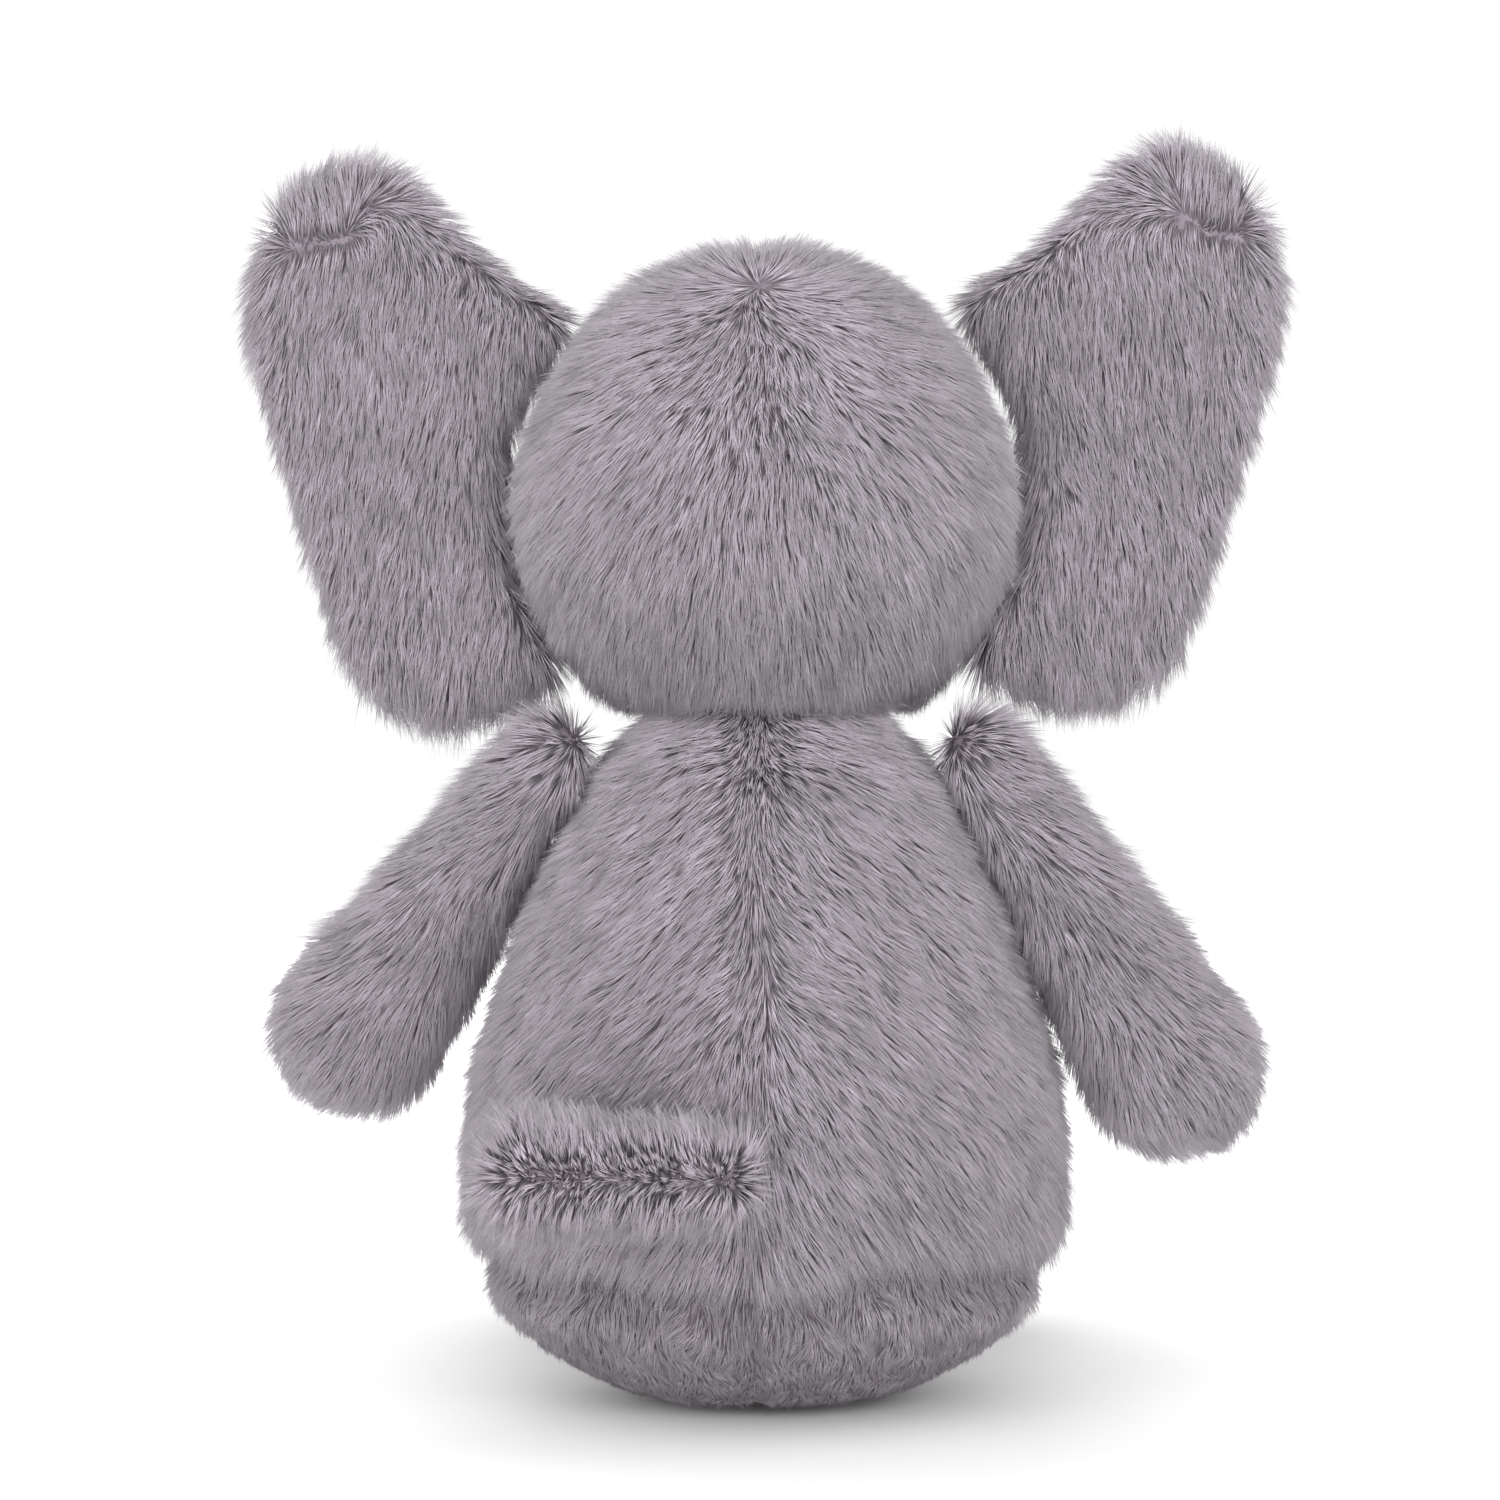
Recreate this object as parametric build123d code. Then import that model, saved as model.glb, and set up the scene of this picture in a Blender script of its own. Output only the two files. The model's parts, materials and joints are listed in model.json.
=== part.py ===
from build123d import *
import os
from math import asin, atan2, cos, degrees, radians, sin, sqrt

# A seated stuffed elephant, in millimetres.  The origin is the centre of the
# flat seat, +Z is up and the elephant faces -Y, so its left side is +X.

# Fabric and fits
SKIN = 6.0            # faux fur: backing cloth with its pile laid flat
LIMB_SKIN = 5.0       # the same cloth, drawn tighter round arms, legs and trunk
EASE = 0.2            # slack between a skin and the filling in it
JOINT_GAP = 0.4       # space between a limb's rounded end and the seat it turns in
SEAM = 1.0            # seam allowance kept between pouch, washers and filling

# Torso: share of its radius, and height, up its side, as the ends and middles of arcs
TORSO_RADIUS = 71.2
TORSO_SEAT_RADIUS = 30.0
TORSO_TOP_RADIUS = 33.0
TORSO_HEIGHT = 158.0
TORSO_SIDE_SHARES = (
    (0.751, 11.5), (0.941, 26.0), (1.0, 50.0), (0.927, 90.0),
    (0.789, 118.0), (0.583, 148.0), (0.534, 153.5),
)
TORSO_SIDE = tuple((share * TORSO_RADIUS, z) for share, z in TORSO_SIDE_SHARES)
BASE_SEAM_HEIGHT = 42.0
SIDE_SEAM_Y = 0.0

# Bean pouch in the bottom of the torso
POUCH_RADIUS = 46.0
POUCH_DEPTH = 40.0
POUCH_HALF_HEIGHT = 15.0
POUCH_CLOTH = 1.0
POUCH_CLEAR = 2.0     # filling under the pouch

# Neck: a domed plug of filling, on which the head turns and nods
NECK_PIVOT_Z = 150.0
NECK_RADIUS = 30.0

# Head
HEAD_BASE_Z = 167.5
HEAD_BASE_RADIUS = 35.3
HEAD_TOP_Z = 275.5
HEAD_SIDE = ((50.0, 184.0), (58.0, 206.0), (57.0, 225.0), (49.5, 243.0))
FACE_RADIUS = 56.8    # the head's radius level with the eyes
FACE_SEAM_Y = -8.0
GUSSET_HALF_WIDTH = 14.0
CHIN_SEAM_Z = 190.0

# Eyes: snap-in buttons, each with a stem through the face and a washer behind
EYE_X = 25.0
EYE_Z = 224.0
EYE_RADIUS = 6.5
EYE_DOME = 5.5
EYE_SET_IN = 0.5      # how far the eye's back sits into the pile
STEM_RADIUS = 1.6
STEM_LENGTH = 15.0
STEM_FIT = 0.1
WASHER_RADIUS = 7.0
WASHER_THICKNESS = 2.0
WASHER_DEPTH = SKIN + 2.5   # from the eye's back to the washer's front

# Trunk: three lengths, each with its length and its fall below level
TRUNK_ROOT_Y = -50.0
TRUNK_ROOT_Z = 207.0
TRUNK_LENGTHS = (36.0, 34.0, 32.0)
TRUNK_FALLS = (38.0, 52.0, 66.0)
TRUNK_RADII = (18.0, 15.0, 12.5, 11.0)
TRUNK_CUP_RIM = 0.65  # how far back a cup's rim stands, in ball radii
TRUNK_END_ROUND = 6.0

# Ears: a flat pad beside the head, hinged where it leaves the head's side
EAR_HINGE_X = 67.0
EAR_HINGE_Y = -15.0
EAR_SWEEP = 10.0      # degrees that the ear leans forwards
EAR_THICKNESS = 14.0
EAR_PANEL = 4.0
EAR_WADDING_INSET = 5.0
EAR_LIFT_RIGHT = 4.0
# distance out from the hinge line, and height; the corner is where the inner edge ends
EAR_TOP_CORNER = 3
EAR_EDGE = (
    (-6.0, 229.0), (-9.5, 239.0), (-15.0, 248.0), (-21.0, 260.0),
    (-9.5, 268.5), (5.0, 278.5), (19.0, 292.0), (33.0, 297.3),
    (46.0, 292.5), (56.0, 280.0), (60.5, 265.0), (55.0, 237.0),
    (45.0, 203.5), (35.0, 177.0), (23.0, 166.5), (9.0, 164.0),
    (-5.0, 166.5), (-16.0, 172.5), (-14.5, 184.0), (-7.5, 197.0),
)

# Arms: hung from the shoulder, out to the side and a little forwards
SHOULDER_OUT = 10.0    # how far the shoulder stands out from the torso's side
SHOULDER_X = TORSO_RADIUS * TORSO_SIDE_SHARES[5][0] + SHOULDER_OUT
SHOULDER_Y = 6.0
SHOULDER_Z = 155.0
SHOULDER_RADIUS = 11.5
ARM_LENGTH = 109.0
ARM_SIDE = ((15.0, 42.0), (21.5, 86.0))
ARM_CLEAR_LEFT = 5.6      # between the hand and the torso's widest
ARM_CLEAR_RIGHT = 3.7
ARM_FORWARD_LEFT = 23.0
ARM_FORWARD_RIGHT = 1.0

# Legs: pointing forwards from the hips, splayed, feet a little raised
HIP_X = 34.0
HIP_IN = 0.2          # how far the hip stands in from the belly
HIP_Y = HIP_IN - TORSO_RADIUS
HIP_Z = 36.0
HIP_RADIUS = 20.0
HIP_POCKET = 12.5     # where the pocket's straight side starts behind the hip
HIP_SWELL = 1.0       # how much the leg widens before it leaves the belly
HIP_LIFTS = (15.0, 30.0, 45.0)
LEG_LENGTH = 78.0
LEG_SIDE = ((22.0, 30.0), (26.0, 54.0), (26.8, 66.0))
SOLE_RADIUS = 21.0
SOLE_THICKNESS = 5.0
SOLE_ROUND = 3.0
LEG_SPLAY_LEFT = 8.0
LEG_SPLAY_RIGHT = 18.0
LEG_RAISE = 5.0

# Tail: a soft stub sewn beside the middle of the back, lying to the left
TAIL_X = 10.0
TAIL_Z = 62.0
TAIL_ROOT_RADIUS = 9.5
TAIL_LENGTH = 55.0
TAIL_SIDE = ((10.2, 22.0), (11.6, 44.0))
TAIL_LEAN = 8.0       # degrees towards the body
TAIL_CLEAR = 1.2
TAIL_SKIN = 4.0

BIG = 1000.0
OUT = "parts"


def inset(points, depth, closed=False):
    """The outline moved to its left by depth, square to itself; a point on the axis stays on it."""
    moved = []
    last = len(points) - 1
    for i, (r, z) in enumerate(points):
        before = points[i - 1 if closed else max(i - 1, 0)]
        after = points[(i + 1) % len(points) if closed else min(i + 1, last)]
        on_axis = r == 0 and not closed
        dr = -1.0 if on_axis else after[0] - before[0]
        dz = 0.0 if on_axis else after[1] - before[1]
        size = sqrt(dr * dr + dz * dz)
        moved.append((r - depth * dz / size, z + depth * dr / size))
    return moved


def cap_middle(shoulder, top):
    """The middle of the round cap, centred on the axis, from a shoulder up to its top."""
    rise = top.Z - shoulder.Z
    radius = (shoulder.X**2 + rise**2) / (2 * rise)
    half = atan2(shoulder.X, radius - rise) / 2
    return Vector(radius * sin(half), 0, top.Z - radius * (1 - cos(half)))


def turned(points, skin=0.0):
    """A solid of revolution about Z, less a skin, from an outline of arcs from the bottom up."""
    rim = [Vector(r, 0, z) for r, z in (inset(points, skin) if skin else points)]
    if rim[-1].X == 0:
        rim.insert(-1, cap_middle(rim[-2], rim[-1]))
    foot = Vector(0, 0, rim[0].Z)
    head = Vector(0, 0, rim[-1].Z)
    edges = [ThreePointArc(*rim[i:i + 3]) for i in range(0, len(rim) - 2, 2)]
    if rim[0].X > 0:
        edges.append(Line(foot, rim[0]))
    if rim[-1].X > 0:
        edges.append(Line(rim[-1], head))
    edges.append(Line(head, foot))
    return revolve(make_face(edges), Axis.Z)


def zone(x=(-BIG, BIG), y=(-BIG, BIG), z=(-BIG, BIG)):
    """The block of space between the given limits."""
    size = [high - low for low, high in (x, y, z)]
    middle = [(low + high) / 2 for low, high in (x, y, z)]
    return Pos(*middle) * Box(*size)


def ball(radius, centre):
    return Pos(*centre) * Sphere(radius)


def frame_along(start, direction):
    """A place at start with its own Z along direction."""
    return Plane(origin=start, z_dir=direction).location


def heading(side, splay, lift):
    """A level direction forwards, turned outwards by splay and upwards by lift."""
    level = cos(radians(lift))
    return Vector(
        side * sin(radians(splay)) * level,
        -cos(radians(splay)) * level,
        sin(radians(lift)),
    )


def save(name, shape):
    solids = shape.solids()
    shape = solids[0] if len(solids) == 1 else Compound(children=list(solids))
    shape.label = name
    export_step(shape, os.path.join(OUT, name + ".step"))


# ---- legs -----------------------------------------------------------------

def hip(side):
    return Vector(side * HIP_X, HIP_Y, HIP_Z)


def leg_heading(side):
    splay = LEG_SPLAY_LEFT if side > 0 else LEG_SPLAY_RIGHT
    return heading(side, splay, LEG_RAISE)


def leg_body(skin):
    """A leg without its sole, pointing up from its hip, less a skin."""
    end = LEG_LENGTH - SOLE_THICKNESS
    outline = [(HIP_RADIUS, 0.0), *LEG_SIDE, (SOLE_RADIUS, end)]
    return turned(outline, skin) + Sphere(HIP_RADIUS - skin)


def hip_pocket(side):
    """The room in the torso for a leg's rounded end, all through its swing."""
    radius = HIP_RADIUS + JOINT_GAP
    place = frame_along(hip(side), leg_heading(side))
    mouth = Pos(0, 0, -HIP_POCKET) * Cylinder(
        radius, 3 * HIP_RADIUS, align=(Align.CENTER, Align.CENTER, Align.MIN)
    )
    pocket = place * (Sphere(radius) + mouth)
    thigh = Cylinder(
        radius + HIP_SWELL, 2 * HIP_RADIUS, align=(Align.CENTER, Align.CENTER, Align.MIN)
    )
    for lift in HIP_LIFTS:
        raised = leg_heading(side).rotate(Axis.X, -lift)
        pocket += frame_along(hip(side), raised) * thigh
    return pocket


def split_above(side):
    """The space above the leg's side seams."""
    across = Vector(leg_heading(side).Y, -leg_heading(side).X, 0).normalized()
    upwards = leg_heading(side).cross(across)
    if upwards.Z < 0:
        upwards = -upwards
    return frame_along(hip(side), upwards) * zone(z=(0, BIG))


def make_leg(side, name):
    end = LEG_LENGTH - SOLE_THICKNESS
    body = leg_body
    place = frame_along(hip(side), leg_heading(side))
    skin = body(0) - body(LIMB_SKIN)
    sole = Pos(0, 0, end) * Cylinder(
        SOLE_RADIUS, SOLE_THICKNESS, align=(Align.CENTER, Align.CENTER, Align.MIN)
    )
    sole = fillet(sole.edges().sort_by(Axis.Z)[-1], SOLE_ROUND)
    above = (place * skin) & split_above(side)
    below = (place * skin) - split_above(side)
    save(f"{name}_top_panel", above)
    save(f"{name}_under_panel", below)
    save(f"{name}_sole", place * sole)
    save(f"{name}_stuffing", place * body(LIMB_SKIN + EASE))


# ---- torso ----------------------------------------------------------------

def make_torso():
    outline = [
        (TORSO_SEAT_RADIUS, 0.0), *TORSO_SIDE, (TORSO_TOP_RADIUS, TORSO_HEIGHT)
    ]
    pockets = hip_pocket(1) + hip_pocket(-1)
    skin = turned(outline) - turned(outline, SKIN) - pockets
    base = skin & zone(z=(-BIG, BASE_SEAM_HEIGHT))
    upper = skin & zone(z=(BASE_SEAM_HEIGHT, BIG))
    back = (SIDE_SEAM_Y, BIG)
    save("base_panel", base)
    save("torso_back_left", upper & zone(x=(0, BIG), y=back))
    save("torso_back_right", upper & zone(x=(-BIG, 0), y=back))
    save("torso_belly", upper & zone(y=(-BIG, SIDE_SEAM_Y)))

    pouch_z = SKIN + POUCH_CLEAR + POUCH_HALF_HEIGHT

    def bag(less):
        size = (
            POUCH_RADIUS - less,
            POUCH_DEPTH - less,
            POUCH_HALF_HEIGHT - less,
        )
        return Pos(0, 0, pouch_z) * scale(Sphere(1), by=size)

    beans = POUCH_CLOTH + EASE
    filling = turned(outline, SKIN + EASE) - bag(-EASE) - pockets
    save("torso_stuffing", filling)
    save("bean_pouch", bag(0) - bag(POUCH_CLOTH) - pockets)
    save("bean_pellets", bag(beans) - pockets)


# ---- neck and head --------------------------------------------------------

NECK = Vector(0, 0, NECK_PIVOT_Z)


def make_neck():
    plug = ball(NECK_RADIUS, NECK) & zone(z=(TORSO_HEIGHT + JOINT_GAP, BIG))
    save("neck_plug", plug)


def head_outline():
    return [(HEAD_BASE_RADIUS, HEAD_BASE_Z), *HEAD_SIDE, (0.0, HEAD_TOP_Z)]


def eye_place(side):
    """The eye's seat on the face, its own Z pointing out of the face."""
    y = -sqrt(FACE_RADIUS**2 - EYE_X**2)
    outwards = Vector(side * EYE_X, y, 0).normalized()
    seat = Vector(side * EYE_X, y, EYE_Z) - outwards * EYE_SET_IN
    return frame_along(seat, outwards)


def eye_space(side):
    """What an eye takes up in the face and the filling: seat, stem and washer."""
    bottom = (Align.CENTER, Align.CENTER, Align.MIN)
    top = (Align.CENTER, Align.CENTER, Align.MAX)
    seat = Cylinder(EYE_RADIUS + STEM_FIT, 2 * EYE_DOME, align=bottom)
    stem = Cylinder(STEM_RADIUS + STEM_FIT, STEM_LENGTH + SEAM, align=top)
    return eye_place(side) * (seat + stem)


def washer_space(side):
    bottom = (Align.CENTER, Align.CENTER, Align.MIN)
    room = Cylinder(WASHER_RADIUS + SEAM, WASHER_THICKNESS + 2 * SEAM, align=bottom)
    return eye_place(side) * Pos(0, 0, -WASHER_DEPTH - WASHER_THICKNESS - SEAM) * room


def make_eye(side, name):
    top = (Align.CENTER, Align.CENTER, Align.MAX)
    bottom = (Align.CENTER, Align.CENTER, Align.MIN)
    dome = scale(Sphere(1), by=(EYE_RADIUS, EYE_RADIUS, EYE_DOME)) & zone(z=(0, BIG))
    stem = Cylinder(STEM_RADIUS, STEM_LENGTH, align=top)
    save(f"eye_{name}", eye_place(side) * (dome + stem))
    ring = Cylinder(WASHER_RADIUS, WASHER_THICKNESS, align=bottom)
    ring -= Cylinder(STEM_RADIUS + STEM_FIT, WASHER_THICKNESS, align=bottom)
    behind = Pos(0, 0, -WASHER_DEPTH - WASHER_THICKNESS)
    save(f"eye_washer_{name}", eye_place(side) * behind * ring)


def make_head():
    socket = ball(NECK_RADIUS + JOINT_GAP, NECK)
    outline = head_outline()
    eyes = eye_space(1) + eye_space(-1)
    skin = turned(outline) - turned(outline, SKIN) - socket - eyes
    back = (FACE_SEAM_Y, BIG)
    front = (-BIG, FACE_SEAM_Y)
    middle = (-GUSSET_HALF_WIDTH, GUSSET_HALF_WIDTH)
    save("head_back_left", skin & zone(x=(0, BIG), y=back))
    save("head_back_right", skin & zone(x=(-BIG, 0), y=back))
    save("face_left", skin & zone(x=(GUSSET_HALF_WIDTH, BIG), y=front))
    save("face_right", skin & zone(x=(-BIG, -GUSSET_HALF_WIDTH), y=front))
    save("forehead_gusset", skin & zone(x=middle, y=front, z=(CHIN_SEAM_Z, BIG)))
    save("chin_panel", skin & zone(x=middle, y=front, z=(-BIG, CHIN_SEAM_Z)))
    filling = turned(outline, SKIN + EASE) - socket - eyes
    filling = filling - washer_space(1) - washer_space(-1)
    save("head_stuffing", filling)
    make_eye(1, "left")
    make_eye(-1, "right")


# ---- trunk ----------------------------------------------------------------

def trunk_points():
    """Where the trunk's three lengths start and end."""
    points = [Vector(0, TRUNK_ROOT_Y, TRUNK_ROOT_Z)]
    for length, fall in zip(TRUNK_LENGTHS, TRUNK_FALLS):
        step = Vector(0, -cos(radians(fall)), -sin(radians(fall))) * length
        points.append(points[-1] + step)
    return points


def make_trunk():
    points = trunk_points()
    face = turned(head_outline())
    names = ("trunk_root", "trunk_middle", "trunk_tip")
    for i, name in enumerate(names):
        start = points[i]
        along = (points[i + 1] - start).normalized()
        r0 = TRUNK_RADII[i]
        r1 = TRUNK_RADII[i + 1]
        last = i == len(names) - 1
        length = TRUNK_LENGTHS[i] - (0 if last else TRUNK_CUP_RIM * r1)

        def piece(skin):
            bottom = (Align.CENTER, Align.CENTER, Align.MIN)
            shape = Cone(r0 - skin, r1 - skin, length - skin * last, align=bottom)
            if last:
                rim = shape.edges().sort_by(Axis.Z)[-1]
                shape = fillet(rim, TRUNK_END_ROUND - skin * 0.5)
            shape = frame_along(start, along) * (shape + Sphere(r0 - skin))
            if not last:
                shape = shape - ball(r1 + JOINT_GAP, points[i + 1])
            return shape

        whole = piece(0)
        inner = piece(LIMB_SKIN)
        filling = piece(LIMB_SKIN + EASE)
        if i == 0:
            whole = whole - face
            filling = filling - face
        save(f"{name}_skin", whole - inner)
        save(f"{name}_stuffing", filling)


# ---- ears -----------------------------------------------------------------

def make_ear(side, name):
    lift = 0.0 if side > 0 else EAR_LIFT_RIGHT
    half = EAR_THICKNESS / 2

    def slab(near, far, less=0.0):
        points = inset(EAR_EDGE, -less, closed=True)
        edge = [Vector(u, 0, z) for u, z in points]
        corner = EAR_TOP_CORNER
        sides = [Spline(*edge[:corner + 1]), Spline(*edge[corner:])]
        face = make_face([*sides, Line(edge[-1], edge[0])])
        face = Pos(0, far, 0) * face
        return extrude(face, amount=far - near, dir=(0, -1, 0))

    place = Pos(EAR_HINGE_X, EAR_HINGE_Y, lift) * Rot(0, 0, -EAR_SWEEP)

    def placed(shape):
        shape = place * shape
        return shape if side > 0 else mirror(shape, Plane.YZ)

    save(f"ear_{name}_outer_panel", placed(slab(half - EAR_PANEL, half)))
    save(f"ear_{name}_inner_panel", placed(slab(-half, EAR_PANEL - half)))
    wadding = slab(EAR_PANEL - half, half - EAR_PANEL, EAR_WADDING_INSET)
    save(f"ear_{name}_wadding", placed(wadding))


# ---- arms -----------------------------------------------------------------

def make_arm(side, name):
    forward = ARM_FORWARD_LEFT if side > 0 else ARM_FORWARD_RIGHT
    clear = ARM_CLEAR_LEFT if side > 0 else ARM_CLEAR_RIGHT
    hand_radius, hand_reach = ARM_SIDE[-1]
    hand_x = TORSO_RADIUS + hand_radius + clear
    spread = degrees(asin((hand_x - SHOULDER_X) / hand_reach))
    place = Pos(side * SHOULDER_X, SHOULDER_Y, SHOULDER_Z) * Rot(-forward, 0, 0)
    place = place * Rot(0, -side * spread, 0) * Rot(180, 0, 0)

    def body(skin):
        outline = [(SHOULDER_RADIUS, 0.0), *ARM_SIDE, (0.0, ARM_LENGTH)]
        return turned(outline, skin) + Sphere(SHOULDER_RADIUS - skin)

    skin = body(0) - body(LIMB_SKIN)
    outside = (0, BIG) if side > 0 else (-BIG, 0)
    inside = (-BIG, 0) if side > 0 else (0, BIG)
    save(f"arm_{name}_outer_panel", place * (skin & zone(x=outside)))
    save(f"arm_{name}_inner_panel", place * (skin & zone(x=inside)))
    save(f"arm_{name}_stuffing", place * body(LIMB_SKIN + EASE))


# ---- tail -----------------------------------------------------------------

def make_tail():
    root = Vector(TAIL_X, TORSO_RADIUS + TAIL_ROOT_RADIUS + TAIL_CLEAR, TAIL_Z)
    lean = radians(TAIL_LEAN)
    place = frame_along(root, Vector(cos(lean), -sin(lean), 0))

    def body(skin):
        outline = [(TAIL_ROOT_RADIUS, 0.0), *TAIL_SIDE, (0.0, TAIL_LENGTH)]
        return turned(outline, skin) + Sphere(TAIL_ROOT_RADIUS - skin)

    save("tail_skin", place * (body(0) - body(TAIL_SKIN)))
    save("tail_stuffing", place * body(TAIL_SKIN + EASE))


def main():
    os.makedirs(OUT, exist_ok=True)
    make_torso()
    make_neck()
    make_head()
    make_trunk()
    for side, name in ((1, "left"), (-1, "right")):
        make_ear(side, name)
        make_arm(side, name)
        make_leg(side, f"leg_{name}")
    make_tail()


main()
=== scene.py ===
import json
import math

import bmesh
import bpy
import numpy as np
from mathutils import Matrix, Vector, kdtree


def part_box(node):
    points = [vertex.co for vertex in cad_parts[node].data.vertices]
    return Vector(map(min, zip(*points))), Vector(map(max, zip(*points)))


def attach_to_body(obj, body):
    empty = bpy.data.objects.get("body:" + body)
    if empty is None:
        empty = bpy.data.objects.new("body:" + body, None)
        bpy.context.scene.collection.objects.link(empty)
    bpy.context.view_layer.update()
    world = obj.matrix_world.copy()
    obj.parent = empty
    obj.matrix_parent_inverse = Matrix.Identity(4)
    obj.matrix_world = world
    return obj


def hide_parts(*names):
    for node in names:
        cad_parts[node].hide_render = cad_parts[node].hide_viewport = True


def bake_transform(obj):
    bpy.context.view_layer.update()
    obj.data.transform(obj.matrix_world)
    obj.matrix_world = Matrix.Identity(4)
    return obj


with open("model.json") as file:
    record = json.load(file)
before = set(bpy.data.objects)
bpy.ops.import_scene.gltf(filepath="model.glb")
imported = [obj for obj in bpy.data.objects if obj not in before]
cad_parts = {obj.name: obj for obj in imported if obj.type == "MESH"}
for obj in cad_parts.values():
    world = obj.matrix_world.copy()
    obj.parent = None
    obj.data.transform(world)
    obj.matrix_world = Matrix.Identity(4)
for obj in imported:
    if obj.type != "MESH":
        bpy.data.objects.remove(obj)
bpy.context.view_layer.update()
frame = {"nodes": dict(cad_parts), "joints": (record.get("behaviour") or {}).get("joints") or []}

# A seated plush elephant in long grey faux fur.  Each stuffed part has a soft
# body, plumped from the CAD panels, and the pile of its fur cloth on it, panel
# by panel.  The elephant faces -Y and its left side is +X.

MM = 0.001
SEED = 20
VOXEL = 4.0 * MM              # mesh size of the soft bodies before plumping
PILE_SINK = 2.6 * MM          # how far the backing cloth lies under the laid pile
SHADES = 64                   # strips of shade in the pile's own UV map
LOCK = 6                      # hairs that cling together in a lock
STUFFING_STEPS = 20           # steps of the cloth's swelling under pressure
LIFT = 27.0                   # degrees that a hair stands off the skin
GREY_LENGTH = 9.5             # mm of the grey pile
HAIR_MIN, HAIR_MAX = 1.5 * MM, 30 * MM

joints = {j["name"]: j for j in frame["joints"]}


def pivot(name):
    return np.array(joints[name]["pos_m"], float)


def middle(node):
    low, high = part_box(node)
    return np.array((low + high) / 2, float)


# ---- soft bodies ---------------------------------------------------------------

def new_piece(name, shape):
    data = bpy.data.meshes.new(name)
    shape.to_mesh(data)
    shape.free()
    piece = bpy.data.objects.new(name, data)
    bpy.context.scene.collection.objects.link(piece)
    return piece


def hull(nodes):
    """The stretched outside of some CAD nodes, as one closed shape."""
    shape = bmesh.new()
    for node in nodes:
        for vertex in frame["nodes"][node].data.vertices:
            shape.verts.new(vertex.co)
    bmesh.ops.remove_doubles(shape, verts=shape.verts, dist=0.02 * MM)
    bmesh.ops.convex_hull(shape, input=shape.verts)
    loose = [v for v in shape.verts if not v.link_faces]
    bmesh.ops.delete(shape, geom=loose, context="VERTS")
    bmesh.ops.recalc_face_normals(shape, faces=shape.faces)
    return shape


def applied(piece):
    """The piece with its modifiers made part of its mesh."""
    graph = bpy.context.evaluated_depsgraph_get()
    graph.update()
    data = bpy.data.meshes.new_from_object(piece.evaluated_get(graph))
    piece.modifiers.clear()
    old, piece.data = piece.data, data
    bpy.data.meshes.remove(old)
    data.name = piece.name
    return piece


def points_of(piece, what="co"):
    values = np.zeros(len(piece.data.vertices) * 3, np.float32)
    source = piece.data.vertices if what == "co" else piece.data.vertex_normals
    source.foreach_get(what if what == "co" else "vector", values)
    return values.reshape(-1, 3).astype(float)


def set_points(piece, points):
    piece.data.vertices.foreach_set("co", points.astype(np.float32).ravel())
    piece.data.update()


def plumped(piece, cap):
    """Stuffs the piece: cloth under pressure, with no point moved further than cap."""
    rest = points_of(piece)
    cloth = piece.modifiers.new("Cloth", "CLOTH")
    cloth.settings.quality = 4
    cloth.settings.use_pressure = True
    cloth.settings.uniform_pressure_force = 4
    cloth.settings.effector_weights.gravity = 0
    cloth.collision_settings.use_collision = False
    cloth.point_cache.frame_start = 1
    cloth.point_cache.frame_end = STUFFING_STEPS
    for step in range(1, STUFFING_STEPS + 1):
        bpy.context.scene.frame_set(step)
    applied(piece)
    bpy.context.scene.frame_set(1)
    moved = points_of(piece) - rest
    far = np.linalg.norm(moved, axis=1, keepdims=True)
    set_points(piece, rest + moved * np.minimum(1, cap / np.maximum(far, 1e-9)))
    return piece


def soft_body(name, shape, voxel=VOXEL, smooth=8, cap=2.0 * MM, sink=PILE_SINK):
    piece = new_piece(name, shape)
    remesh = piece.modifiers.new("Remesh", "REMESH")
    remesh.mode = "VOXEL"
    remesh.voxel_size = voxel
    relax = piece.modifiers.new("Smooth", "SMOOTH")
    relax.iterations = smooth
    applied(piece)
    plumped(piece, cap)
    finer = piece.modifiers.new("Subdivision", "SUBSURF")
    finer.levels = finer.render_levels = 1
    applied(piece)
    set_points(piece, points_of(piece) - points_of(piece, "normal") * sink)
    piece.data.polygons.foreach_set("use_smooth", [True] * len(piece.data.polygons))
    return piece


def crease(piece, depth, width, distance):
    """Draws the cloth in along a seam, where distance(points) is nought."""
    points = points_of(piece)
    pull = depth * np.exp(-(distance(points) / width) ** 2)
    set_points(piece, points - points_of(piece, "normal") * pull[:, None])


# ---- small sums on lists of points ---------------------------------------------

def unit(v):
    return v / np.maximum(np.linalg.norm(v, axis=1, keepdims=True), 1e-12)


def along_surface(direction, normals):
    return unit(direction - normals * (direction * normals).sum(1, keepdims=True))


def wave(points, size, seed):
    """A smooth unevenness from -1 to 1, with bumps about size across."""
    draw = np.random.default_rng(seed)
    total = np.zeros(len(points))
    for _ in range(6):
        turn = draw.normal(size=3)
        turn *= math.tau / (2 * size * np.linalg.norm(turn)) * draw.uniform(0.6, 1.5)
        total += np.sin(points @ turn + draw.uniform(0, math.tau))
    return total / 3


def away_from(points, centre):
    return unit(points - np.asarray(centre, float))


# ---- pile ----------------------------------------------------------------------

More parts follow.
